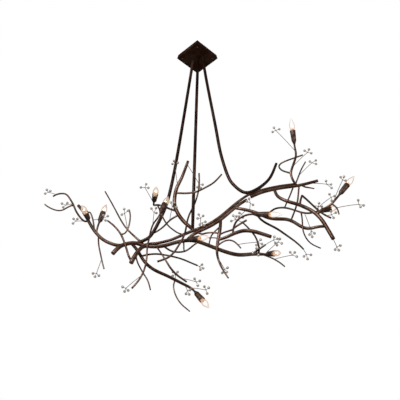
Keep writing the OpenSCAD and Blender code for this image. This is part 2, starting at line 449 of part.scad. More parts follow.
function sprig_foot(s) = foot(s[0], s[1]);
function sprig_fork(s) = [s[2][0], s[2][1], sprig_foot(s)[2] + s[2][2]];
function bead_places(s) =
    let (fork = sprig_fork(s))
    [for (i = [0 : len(s[3]) - 1]) seen([s[3][i][0], s[3][i][1], fork[2] + (i - 1) * prong_spread])];
module prong(a, b) {
    aim(a, unit(b - a))
        cylinder(h = norm(b - a), d = wire_d * 0.85, $fn = 5);
}

// The wire is set in a hole drilled to the middle of its limb, and its three
// prongs leave a small knot
module sprig_wires() {
    color("#8d8076")
        for (s = SPRIGS) {
            knot = seen(sprig_fork(s));
            tube(limb([sprig_foot(s), sprig_fork(s)], [wire_d], 1, 5));
            translate(knot)
                sphere(d = wire_d * 1.8, $fn = 6);
            for (bead = bead_places(s))
                prong(knot, bead);
        }
}

// Each bead sits on the end of its own prong
module sprig_beads() {
    color("#d9dad6")
        for (s = SPRIGS)
            for (bead = bead_places(s))
                translate(bead) sphere(d = bead_d, $fn = 24);
}

// Lamps, each in a frame of its own: the stem's end at the origin, +Z along
// the candle
stem_d = twig_d; // the end of a stem
cup_top = taper_h + cup_h;
cup_floor = taper_h + 6;
cap_h = 24;
holder_top = cup_top - 9;
neck_z = cup_top - 5; // where the glass meets its cap
neck_d = 12.5;
belly = 0.34; // share of the glass's length from the neck to its widest place
glass_wall = 1;
glass_steps = 14;

function glass_r(t, wall = 0) =
    let (big = glass_d / 2 - wall, small = neck_d / 2 - wall)
    t < belly ? small + (big - small) * sin(90 * t / belly)
        : max(big * pow(cos(90 * (t - belly) / (1 - belly)), 1.2), 0);

module cup() {
    rotate_extrude($fn = 72)
        polygon([[0, 0], [stem_d / 2 + 0.4, 0], [cup_d / 2, taper_h], [cup_rim_d / 2, cup_top],
            [cup_rim_d / 2 - cup_wall, cup_top], [cup_d / 2 - cup_wall, cup_floor], [0, cup_floor]]);
}

module holder() {
    translate([0, 0, cup_floor])
        difference() {
            cylinder(h = holder_top - cup_floor, d = holder_d, $fn = 48);
            translate([0, 0, neck_z - cap_h - seat_gap - cup_floor])
                cylinder(h = cap_h, d = cap_d + 2 * cap_gap, $fn = 48);
        }
}

module cap() {
    translate([0, 0, neck_z - cap_h + 1])
        cylinder(h = cap_h - 1, d = cap_d, $fn = 48);
    translate([0, 0, neck_z - cap_h])
        cylinder(h = 1.5, d = cap_d / 2, $fn = 48);
}

module glass() {
    translate([0, 0, neck_z])
        rotate_extrude($fn = 72)
            polygon(concat(
                [for (i = [0 : glass_steps]) [glass_r(i / glass_steps), glass_h * i / glass_steps]],
                [for (i = [glass_steps : -1 : 0])
                    [glass_r(i / glass_steps, glass_wall), (glass_h - glass_wall) * i / glass_steps]]));
}

module on_stem(i) {
    end = heading(STEMS[i]);
    aim(end[0], end[1])
        children();
}

// Ceiling pan and what is inside it
strap_w = 22;
strap_t = 4;
strap_gap = 4; // from the corners of the strap's arms to the pan's walls
strap_reach = (pan_top_w - 2 * pan_wall - 2 * strap_gap) / sqrt(2) - strap_w / 2;
anchor_circle = 120;
anchor_d = 6.5;
wire_hole_d = 12;

module frustum(low, high, h) {
    rotate([0, 0, 45])
        linear_extrude(height = h, scale = high / low)
            square(low, center = true);
}

module round_pattern(circle) {
    for (a = [0 : 90 : 270])
        rotate([0, 0, a])
            translate([circle / 2, 0, 0])
                children();
}

module pan() {
    color("#33241d")
        difference() {
            translate([0, 0, -pan_h])
                frustum(pan_w, pan_top_w, pan_h);
            translate([0, 0, -pan_h + pan_wall])
                frustum(pan_w - 2 * pan_wall, pan_top_w - 2 * pan_wall, pan_h);
            translate([0, 0, -pan_h - 1])
                round_pattern(screw_circle)
                    cylinder(h = pan_wall + 2, d = screw_d + 2 * hole_gap, $fn = 36);
        }
}

module strap() {
    color("#8c8a86")
        difference() {
            for (a = [0, 90])
                rotate([0, 0, a])
                    translate([-strap_reach, -strap_w / 2, -strap_t])
                        cube([2 * strap_reach, strap_w, strap_t]);
            translate([0, 0, -strap_t - 1]) {
                cylinder(h = strap_t + 2, d = wire_hole_d, $fn = 36);
                round_pattern(anchor_circle)
                    cylinder(h = strap_t + 2, d = anchor_d, $fn = 36);
                round_pattern(screw_circle)
                    cylinder(h = strap_t + 2, d = screw_d, $fn = 36);
            }
        }
}

module pan_screws() {
    color("#4a3a31")
        round_pattern(screw_circle) {
            translate([0, 0, -pan_h])
                cylinder(h = pan_h, d = screw_d, $fn = 36);
            translate([0, 0, -pan_h])
                intersection() {
                    screw_dome();
                    translate([0, 0, -screw_head_d])
                        cylinder(h = screw_head_d, d = screw_head_d, $fn = 36);
                }
        }
}

// A domed head: the low part of a ball wider than the head
module screw_dome() {
    ball_r = screw_head_d * 0.7;
    translate([0, 0, sqrt(ball_r * ball_r - screw_head_d * screw_head_d / 4) - 0.6])
        sphere(r = ball_r, $fn = 72);
}

LAMPS = [for (i = [0 : len(STEMS) - 1]) i];

pan();
strap();
pan_screws();
color("#e8e4da") for (i = LAMPS) on_stem(i) holder();  // lamp_holders
sprig_wires();
sprig_beads();
for (r = RODS)
    color("#3f2b22") hung(r[1], r[2]);
for (m = MAINS)
    color("#3b2820") welded(m[1], m[2]);
for (g = TWIG_GROUPS)
    color("#402c23") for (t = g[1]) welded(t[0], t[1]);
for (i = LAMPS) {
    color("#3a2920") on_stem(i) cup();
    color("#b98a4a") on_stem(i) cap();
    color("#f6e7cf") on_stem(i) glass();
}
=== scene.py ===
import json
import logging
import math
from dataclasses import dataclass
from enum import Enum
from typing import Dict, Iterable, List, Optional, Sequence, Tuple, Union

import bmesh
import bpy
from mathutils import Matrix, Vector


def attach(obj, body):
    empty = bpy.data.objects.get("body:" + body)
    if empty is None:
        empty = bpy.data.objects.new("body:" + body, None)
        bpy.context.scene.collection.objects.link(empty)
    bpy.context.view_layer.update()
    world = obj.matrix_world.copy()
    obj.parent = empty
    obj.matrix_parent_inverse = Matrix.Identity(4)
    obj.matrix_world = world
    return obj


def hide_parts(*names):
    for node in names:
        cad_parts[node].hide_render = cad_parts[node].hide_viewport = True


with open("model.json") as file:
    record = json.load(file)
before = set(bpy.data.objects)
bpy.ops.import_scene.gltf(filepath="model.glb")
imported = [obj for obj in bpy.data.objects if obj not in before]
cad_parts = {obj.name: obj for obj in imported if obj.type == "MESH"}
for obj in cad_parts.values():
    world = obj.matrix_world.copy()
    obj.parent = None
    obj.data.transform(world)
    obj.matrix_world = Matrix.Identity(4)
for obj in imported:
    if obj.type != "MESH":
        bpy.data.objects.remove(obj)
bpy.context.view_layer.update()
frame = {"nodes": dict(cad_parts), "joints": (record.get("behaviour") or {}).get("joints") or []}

MM = 0.001
LOG = logging.getLogger("branch_chandelier")

Colour = Tuple[float, float, float]
Point2 = Tuple[float, float]
Point3 = Tuple[float, float, float]


# --------------------------------------------------------------- shader graph

class Field:
    """A value or colour that varies over a surface: a socket with arithmetic."""

    def __init__(self, tree: bpy.types.NodeTree, socket: bpy.types.NodeSocket) -> None:
        """Wraps a socket.

        Args:
            tree: The node tree that the socket belongs to.
            socket: The output socket.
        """
        self.tree = tree
        self.socket = socket

    def node(self, kind: str, output: Union[int, str] = 0, settings: Optional[dict] = None,
             **inputs: object) -> "Field":
        """Adds a node of any type to the same tree.

        Args:
            kind: The node's class name in bpy.
            output: The output to return, by number or name.
            settings: Attributes to set on the node.
            inputs: Values or fields for the inputs, by name with _ for a space,
                or in_0, in_1 by number.

        Returns:
            The chosen output.
        """
        made = self.tree.nodes.new(kind)
        for key, value in (settings or {}).items():
            setattr(made, key, value)
        for key, value in inputs.items():
            number = key.startswith("in_")
            slot = made.inputs[int(key[3:])] if number else made.inputs[key.replace("_", " ")]
            if isinstance(value, Field):
                self.tree.links.new(value.socket, slot)
            else:
                slot.default_value = value
        return Field(self.tree, made.outputs[output])

    def _math(self, operation: str, first: object, second: object) -> "Field":
        """Adds one Math node."""
        return self.node("ShaderNodeMath", settings={"operation": operation},
                         in_0=first, in_1=second)

    def __add__(self, other: object) -> "Field":
        """Returns self + other."""
        return self._math("ADD", self, other)

    def __radd__(self, other: object) -> "Field":
        """Returns other + self."""
        return self._math("ADD", other, self)

    def __sub__(self, other: object) -> "Field":
        """Returns self - other."""
        return self._math("SUBTRACT", self, other)

    def __rsub__(self, other: object) -> "Field":
        """Returns other - self."""
        return self._math("SUBTRACT", other, self)

    def __mul__(self, other: object) -> "Field":
        """Returns self * other."""
        return self._math("MULTIPLY", self, other)

    def __rmul__(self, other: object) -> "Field":
        """Returns other * self."""
        return self._math("MULTIPLY", other, self)

    def spread(self, low: float, high: float, to_low: float = 0.0, to_high: float = 1.0) -> "Field":
        """Maps low..high to to_low..to_high smoothly, held at both ends."""
        return self.node("ShaderNodeMapRange", settings={"interpolation_type": "SMOOTHSTEP"},
                         Value=self, From_Min=low, From_Max=high, To_Min=to_low, To_Max=to_high)

    def blend(self, low: object, high: object) -> "Field":
        """Mixes two colours by this value.

        Args:
            low: The colour, or field, at 0.
            high: The colour, or field, at 1.

        Returns:
            The mixed colour.
        """
        made = self.tree.nodes.new("ShaderNodeMix")
        made.data_type = "RGBA"
        self.tree.links.new(self.socket, made.inputs[0])
        for slot, value in ((made.inputs[6], low), (made.inputs[7], high)):
            if isinstance(value, Field):
                self.tree.links.new(value.socket, slot)
            else:
                slot.default_value = (*value, 1.0)
        return Field(self.tree, made.outputs[2])


class Surface:
    """One material under construction: its tree, its shader and its patterns."""

    def __init__(self, name: str) -> None:
        """Starts a material with a Principled shader.

        Args:
            name: The material's name.
        """
        self.material = bpy.data.materials.new(name)
        self.material.use_nodes = True
        self.tree = self.material.node_tree
        self.shader = self.tree.nodes["Principled BSDF"]
        place = self.tree.nodes.new("ShaderNodeTexCoord")
        self.place = Field(self.tree, place.outputs["Object"])

    def fix(self, **values: object) -> "Surface":
        """Sets sockets that are the same all over the surface."""
        for key, value in values.items():
            self.shader.inputs[key.replace("_", " ")].default_value = value
        return self

    def vary(self, **fields: Field) -> "Surface":
        """Links sockets that vary over the surface."""
        for key, value in fields.items():
            self.tree.links.new(value.socket, self.shader.inputs[key.replace("_", " ")])
        return self

    def noise(self, size: float, detail: float, roughness: float) -> Field:
        """Cloudy noise.

        Args:
            size: Size of its larger patches, in metres.
            detail: Number of finer layers.
            roughness: Strength of the finer layers.

        Returns:
            A value about 0.5.
        """
        return self.place.node("ShaderNodeTexNoise", "Fac", Vector=self.place, Scale=1.0 / size,
                               Detail=detail, Roughness=roughness)

    def cells(self, size: float) -> Field:
        """Distance from scattered points, for dents and bubbles of about that size in metres."""
        return self.place.node("ShaderNodeTexVoronoi", "Distance", Vector=self.place,
                               Scale=1.0 / size)

    def bump(self, height: Field, depth: float, strength: float = 1.0) -> "Surface":
        """Raises the surface by a height field.

        Args:
            height: The field.
            depth: Metres from 0 to 1 of the field.
            strength: Share of the effect.

        Returns:
            The surface.
        """
        normal = height.node("ShaderNodeBump", "Normal", Height=height, Distance=depth,
                             Strength=strength)
        return self.vary(Normal=normal)


# -------------------------------------------------------------------- finishes

@dataclass(frozen=True)
class ForgedPaint:
    """Brown paint over hammered metal, paler in patches that are wear from rubbing and also a
    painted highlight.

    Attributes:
        name: The material's name.
        dark: The darker patches of the paint.
        warm: Its warmer patches.
        wear_and_highlight: Its paler colour in those patches: wear from rubbing, and a painted
            highlight.
        wear_and_highlight_share: How far the paler patches of wear and painted highlight spread, 0
            to 1.
        patch: Size of a patch, in metres.
        dent: Size of a hammer mark, in metres.
        dent_depth: Depth of a hammer mark, in metres.
        roughness: Its mean roughness.
        metallic: Share of bare metal in its shine.
        shine: Specular level of the paint.
    """

    name: str
    dark: Colour = (0.047, 0.0195, 0.0095)
    warm: Colour = (0.081, 0.0415, 0.0262)
    # Paler patches: wear from rubbing, coloured as a painted highlight.
    wear_and_highlight: Colour = (0.153, 0.099, 0.077)
    wear_and_highlight_share: float = 0.26
    patch: float = 0.075
    dent: float = 0.016
    dent_depth: float = 0.00012
    roughness: float = 0.34
    metallic: float = 0.5
    shine: float = 0.2

    def make(self) -> bpy.types.Material:
        """Builds the material."""
        face = Surface(self.name)
        patches = face.noise(self.patch, 4.0, 0.6)
        grain = face.noise(0.0042, 3.0, 0.6)
        dents = face.cells(self.dent)
        tone = patches.spread(0.36, 0.66).blend(self.dark, self.warm)
        # Paler patches of wear from rubbing, which also carry a painted highlight.
        wear_and_highlight_pattern = patches * 0.85 + grain * 0.15
        wear_and_highlight_mask = wear_and_highlight_pattern.spread(0.72 - self.wear_and_highlight_share, 1.0 - self.wear_and_highlight_share)
        colour = wear_and_highlight_mask.blend(tone, self.wear_and_highlight)
        face.vary(Base_Color=colour)
        face.vary(Roughness=self.roughness + (grain - 0.5) * 0.1 - wear_and_highlight_mask * 0.06)
        face.fix(Metallic=self.metallic, Specular_IOR_Level=self.shine)
        face.bump(dents.spread(0.0, 0.9) * 0.9 + grain * 0.1, self.dent_depth)
        return face.material


@dataclass(frozen=True)
class PanPaint:
    """Very dark satin paint on sheet metal, with faint orange peel and dust."""

    name: str = "pan_paint"
    dark: Colour = (0.0150, 0.0048, 0.0018)
    pale: Colour = (0.0300, 0.0140, 0.0085)

    def make(self) -> bpy.types.Material:
        """Builds the material."""
        face = Surface(self.name)
        cloud = face.noise(0.07, 4.0, 0.6)
        peel = face.noise(0.0035, 2.0, 0.5)
        face.vary(Base_Color=cloud.spread(0.35, 0.7).blend(self.dark, self.pale))
        face.vary(Roughness=0.5 + (cloud - 0.5) * 0.3)
        face.fix(Specular_IOR_Level=0.03)
        face.bump(peel, 0.00035, 0.6)
        return face.material


@dataclass(frozen=True)
class PlainMetal:
    """Bare or plated metal with fine streaks and stains.

    Attributes:
        name: The material's name.
        bright: The clean metal.
        stain: The stained metal.
        roughness: Its mean roughness.
        streak: Width of a streak, in metres.
        metallic: Share of bare metal in its shine.
    """

    name: str
    bright: Colour
    stain: Colour
    roughness: float = 0.34
    streak: float = 0.0016
    metallic: float = 1.0

    def make(self) -> bpy.types.Material:
        """Builds the material."""
        face = Surface(self.name)
        cloud = face.noise(0.018, 4.0, 0.65)
        streaks = face.noise(self.streak, 2.0, 0.5)
        face.vary(Base_Color=cloud.spread(0.42, 0.7).blend(self.bright, self.stain))
        face.vary(Roughness=self.roughness + (streaks - 0.5) * 0.24 + (cloud - 0.5) * 0.2)
        face.fix(Metallic=self.metallic)
        face.bump(streaks, 0.00012, 0.5)
        return face.material


@dataclass(frozen=True)
class Porcelain:
    """Off-white glazed insulator."""

    name: str = "holder_porcelain"
    clean: Colour = (0.78, 0.75, 0.68)
    worn: Colour = (0.60, 0.55, 0.46)

    def make(self) -> bpy.types.Material:
        """Builds the material."""
        face = Surface(self.name)
        cloud = face.noise(0.006, 4.0, 0.6)
        face.vary(Base_Color=cloud.spread(0.45, 0.8).blend(self.clean, self.worn))
        face.vary(Roughness=0.30 + (cloud - 0.5) * 0.2)
        face.bump(cloud, 0.00008, 0.5)
        return face.material


@dataclass(frozen=True)
class ClearBead:
    """Clear glass ball with a grey tinge and tiny bubbles."""

    name: str = "bead_glass"
    tint: Colour = (0.50, 0.44, 0.395)
    core: Colour = (0.36, 0.31, 0.275)

    def make(self) -> bpy.types.Material:
        """Builds the material."""
        face = Surface(self.name)
        cloud = face.noise(0.005, 3.0, 0.6)
        bubbles = face.cells(0.0022)
        face.vary(Base_Color=cloud.spread(0.35, 0.65).blend(self.core, self.tint))
        face.vary(Roughness=0.05 + bubbles.spread(0.0, 0.25, 0.12, 0.0))
        face.fix(Transmission_Weight=0.4, IOR=1.5, Specular_IOR_Level=0.5)
        face.bump(cloud, 0.0002, 0.4)
        return face.material


@dataclass(frozen=True)
class LitGlass:
    """Thin clear glass round a glow, with a peach edge where it turns away.

    Attributes:
        name: The material's name.
        amber: The glow over the cap.
        cream: The glow between the cap and the middle.
        white: The glow at the middle.
        edge: The glass where it turns away.
        tip: The same near the flame's tip.
        strength: Strength of the glow.
    """

    name: str = "bulb_glass"
    amber: Colour = (0.88, 0.36, 0.105)
    cream: Colour = (1.0, 0.88, 0.72)
    white: Colour = (1.0, 0.965, 0.92)
    edge: Colour = (0.50, 0.27, 0.155)
    tip: Colour = (0.42, 0.34, 0.28)
    strength: float = 0.93

    def make(self) -> bpy.types.Material:
        """Builds the material."""
        face = Surface(self.name)
        along = face.place.node("ShaderNodeAttribute", "Fac", settings={"attribute_name": "along"})
        turned = face.place.node("ShaderNodeLayerWeight", "Facing", Blend=0.5)
        haze = face.noise(0.02, 3.0, 0.5)
        height = along + (haze - 0.5) * 0.06
        edge = turned.spread(0.22, 0.80)
        foot = height.spread(0.10, 0.25, 1.0, 0.0)
        tip = height.spread(0.74, 0.95)
        clear = height.spread(0.12, 0.42).blend(self.cream, self.white)
        skin = edge.blend(clear, tip.blend(self.edge, self.tip))
        face.vary(Emission_Color=foot.blend(skin, self.amber))
        face.vary(Alpha=0.08 + edge * 0.80 + foot * 0.4 + tip * 0.24)
        face.vary(Base_Color=haze.blend((0.030, 0.024, 0.018), (0.050, 0.040, 0.030)))
        face.vary(Roughness=0.06 + haze * 0.05)
        face.fix(Emission_Strength=self.strength, Specular_IOR_Level=0.3)
        return face.material


@dataclass(frozen=True)
class Glow:
    """White-hot wire, a little hotter at its middle."""

    name: str = "filament_glow"
    hot: Colour = (1.0, 0.80, 0.50)
    cooler: Colour = (1.0, 0.55, 0.22)
    strength: float = 9.0

    def make(self) -> bpy.types.Material:
        """Builds the material."""
        face = Surface(self.name)
        flicker = face.noise(0.004, 2.0, 0.5)
        face.vary(Emission_Color=flicker.spread(0.35, 0.65).blend(self.cooler, self.hot))
        face.vary(Base_Color=flicker.blend((0.3, 0.2, 0.12), (0.5, 0.4, 0.3)))
        face.fix(Emission_Strength=self.strength, Roughness=0.5)
        return face.material


class Finish(Enum):
    """The finishes of the object's pieces."""

    # The paler patches of the forged finishes are wear from rubbing and a painted highlight.
    LIMB = ForgedPaint("limb_paint")
    ROD = ForgedPaint("rod_paint", dark=(0.013, 0.0038, 0.0012), warm=(0.034, 0.0140, 0.0078),
                      wear_and_highlight=(0.075, 0.046, 0.036), wear_and_highlight_share=0.2, patch=0.12, dent_depth=0.0001)
    TWIG = ForgedPaint("twig_paint", dent=0.011, dent_depth=0.00008, patch=0.06)
    CUP = ForgedPaint("cup_paint", dark=(0.040, 0.0215, 0.0150), warm=(0.080, 0.049, 0.037),
                      patch=0.022, dent=0.009, dent_depth=0.0001, roughness=0.48)
    PAN = PanPaint()
    SCREW = PlainMetal("screw_metal", (0.090, 0.075, 0.070), (0.050, 0.040, 0.036), 0.4, 0.002, 0.5)
    STRAP = PlainMetal("strap_metal", (0.42, 0.41, 0.39), (0.28, 0.26, 0.24), 0.42)
    WIRE = PlainMetal("sprig_metal", (0.070, 0.040, 0.022), (0.045, 0.025, 0.013), 0.5, 0.003, 0.0)
    BRASS = PlainMetal("cap_brass", (0.58, 0.40, 0.16), (0.40, 0.26, 0.10), 0.28)
    LEAD = PlainMetal("lead_metal", (0.50, 0.47, 0.42), (0.34, 0.31, 0.27), 0.35)
    PORCELAIN = Porcelain()
    BEAD = ClearBead()
    GLASS = LitGlass()
    GLOW = Glow()


class Palette:
    """Makes each finish once and hands it out."""

    def __init__(self) -> None:
        """Starts with nothing made."""
        self.made: Dict[Finish, bpy.types.Material] = {}

    def get(self, finish: Finish) -> bpy.types.Material:
        """Returns the material of a finish."""
        if finish not in self.made:
            self.made[finish] = finish.value.make()
        return self.made[finish]


# ------------------------------------------------------------------- workshop

class Bench:
    """Turns bmeshes into finished pieces on the frame.

    Attributes:
        same_point: Points of a CAD mesh nearer than this, in metres, are one.
    """

    same_point: float = 2e-6

    def __init__(self, palette: Palette) -> None:
        """Keeps the palette that the materials come from."""
        self.palette = palette

    def dress(self, node: str, finish: Finish) -> None:
        """Gives a CAD node its finish and leaves its shape alone."""
        body = frame["nodes"][node]
        body.data.materials.clear()
        body.data.materials.append(self.palette.get(finish))
        LOG.info("dressed %s", node)

    def finish(self, mesh: bmesh.types.BMesh, name: str, finish: Finish, body: str, slot: str,
               replaces: Sequence[str] = (), smooth: bool = True) -> bpy.types.Object:
        """Makes an object of a bmesh and ties it to the frame.

        Args:
            mesh: The shape, in the frame's own axes. It is freed.
            name: The piece's name.
            finish: Its finish.
            body: The CAD body that it rides on.
            slot: The record's material slot. It is not used.
            replaces: CAD nodes that it stands for.
            smooth: Whether its faces are shaded smooth.

        Returns:
            The new object.
        """
        for face in mesh.faces:
            face.smooth = smooth
        data = bpy.data.meshes.new(name)
        mesh.to_mesh(data)
        mesh.free()
        piece = bpy.data.objects.new(name, data)
        bpy.context.scene.collection.objects.link(piece)
        data.materials.append(self.palette.get(finish))
        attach(piece, body)
        if replaces:
            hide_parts(*replaces)
        LOG.info("made %s with %d faces", name, len(data.polygons))
        return piece

    @staticmethod
    def copy_of(node: str) -> bmesh.types.BMesh:
        """Returns a merged copy of a CAD node's mesh."""
        mesh = bmesh.new()
        mesh.from_mesh(frame["nodes"][node].data)
        bmesh.ops.remove_doubles(mesh, verts=mesh.verts, dist=Bench.same_point)
        return mesh

    @staticmethod
    def lathe(profile: Sequence[Point2], steps: int) -> bmesh.types.BMesh:
        """Spins a profile about Z.

        Args:
            profile: Radius and height of each point, in metres. A closed solid's
                profile starts and ends on the axis or at its own start.
            steps: Number of steps round.

        Returns:
            The spun shape, with its normals outwards.
        """
        mesh = bmesh.new()
        points = [mesh.verts.new((radius, 0.0, height)) for radius, height in profile]
        edges = [mesh.edges.new(pair) for pair in zip(points, points[1:])]
        bmesh.ops.spin(mesh, geom=points + edges, cent=(0, 0, 0), axis=(0, 0, 1),
                       dvec=(0, 0, 0), angle=2 * math.pi, steps=steps, use_merge=True)
        bmesh.ops.remove_doubles(mesh, verts=mesh.verts, dist=Bench.same_point / 2)
        loose = [edge for edge in mesh.edges if not edge.link_faces]
        bmesh.ops.delete(mesh, geom=loose, context="EDGES")
        bmesh.ops.recalc_face_normals(mesh, faces=mesh.faces)
        return mesh

    @staticmethod
    def join(parts: Iterable[bmesh.types.BMesh]) -> bmesh.types.BMesh:
        """Joins several bmeshes in one and frees them."""
        whole = bmesh.new()
        for part in parts:
            data = bpy.data.meshes.new("part")
            part.to_mesh(data)
            part.free()
            whole.from_mesh(data)
            bpy.data.meshes.remove(data)
        return whole

    @staticmethod
    def round_off(piece: bpy.types.Object, levels: int) -> None:
        """Adds subdivision, the same in view and render."""
        modifier = piece.modifiers.new("rounding", "SUBSURF")
        modifier.levels = levels
        modifier.render_levels = levels


# ------------------------------------------------------------------- assemblies

@dataclass
class Thicket:
    """Rods, limbs and twigs: round, softly forged versions of their CAD nodes.

    Attributes:
        bench: Where its pieces are finished.
        tiny: Length under which an edge is dropped.
        sharp: Angle past which an edge stays sharp, as at a cut end.
        join_angle: Largest bend between two triangles that become one quad.
        quad_skew: Largest skew of such a quad.
        levels: Levels of subdivision.
        limb_grow: How far a limb's skin moves out before it is rounded.
        stout_grow: The same for the thickest limbs.
        stout: The thickest limbs.
    """

    bench: Bench
    tiny: float = 0.02 * MM
    sharp: float = math.radians(62)
    join_angle: float = math.radians(24)
    quad_skew: float = math.radians(60)
    levels: int = 2
    limb_grow: float = 0.85 * MM
    stout_grow: float = 0.52 * MM
    stout: Tuple[str, ...] = ("trunk", "limb_right_lower", "limb_right_outer", "limb_left",
                              "limb_rising")

    def soften(self, node: str, grow: float) -> bmesh.types.BMesh:
        """Copies a node, makes quads of its triangles and creases its cut ends.

        Args:
            node: The CAD node.
            grow: How far its skin moves out, to make up for what rounding takes.

        Returns:
            The control mesh of a subdivision surface.
        """
        mesh = self.bench.copy_of(node)
        bmesh.ops.dissolve_degenerate(mesh, dist=self.tiny, edges=mesh.edges)
        bmesh.ops.join_triangles(mesh, faces=mesh.faces, cmp_seam=False, cmp_sharp=False,
                                 cmp_uvs=False, cmp_vcols=False, cmp_materials=False,
                                 angle_face_threshold=self.join_angle,
                                 angle_shape_threshold=self.quad_skew)
        mesh.normal_update()
        creases = mesh.edges.layers.float.new("crease_edge")
        for edge in mesh.edges:
            if len(edge.link_faces) != 2 or edge.calc_face_angle(0.0) > self.sharp:
                edge[creases] = 1.0
        for vert in mesh.verts:
            vert.co += vert.normal * grow
        return mesh

    def kind(self, node: str) -> Optional[Tuple[Finish, str, float]]:
        """Returns the finish, slot and growth of a rod, twig or limb, or None for other nodes."""
        if node.startswith("rod_"):
            return Finish.ROD, "rod_bronze", 0.30 * MM
        if node.startswith("twigs_"):
            return Finish.TWIG, "twig_bronze", 0.42 * MM
        if node.startswith(("limb_", "trunk")):
            grow = self.stout_grow if node in self.stout else self.limb_grow
            return Finish.LIMB, "limb_bronze", grow
        return None

    def build(self) -> None:
        """Makes every rod, limb and group of twigs."""
        for node in frame["nodes"]:
            found = self.kind(node)
            if found:
                finish, slot, grow = found
                piece = self.bench.finish(self.soften(node, grow), f"forged_{node}", finish,
                                          "frame", slot, (node,))
                self.bench.round_off(piece, self.levels)


@dataclass
class CeilingPan:
    """The flared square pan, its strap and its four screws.

    Attributes:
        bench: Where its pieces are finished.
        edge_radius: Radius of a fold.
        long_edge: Length past which an edge can be a fold.
        flat: Angle under which two faces are one.
        fold: Angle past which a long edge is a fold.
    """

    bench: Bench
    edge_radius: float = 1.4 * MM
    long_edge: float = 30 * MM
    flat: float = math.radians(2)
    fold: float = 0.3

    def shell(self) -> None:
        """Makes the pan with rounded folds."""
        mesh = self.bench.copy_of("pan")
        bmesh.ops.dissolve_limit(mesh, angle_limit=self.flat, verts=mesh.verts, edges=mesh.edges,
                                 use_dissolve_boundaries=False, delimit={"NORMAL"})
        folds = [edge for edge in mesh.edges if edge.calc_length() > self.long_edge
                 and edge.calc_face_angle(0.0) > self.fold]
        bmesh.ops.bevel(mesh, geom=folds, offset=self.edge_radius, offset_type="OFFSET",
                        affect="EDGES", segments=3, profile=0.5, material=-1, clamp_overlap=True)
        self.bench.finish(mesh, "rounded_pan", Finish.PAN, "frame", "pan_enamel", ("pan",),
                          smooth=False)

    def build(self) -> None:
        """Makes the pan and dresses its fittings."""
        self.shell()
        self.bench.dress("strap", Finish.STRAP)
        self.bench.dress("pan_screws", Finish.SCREW)


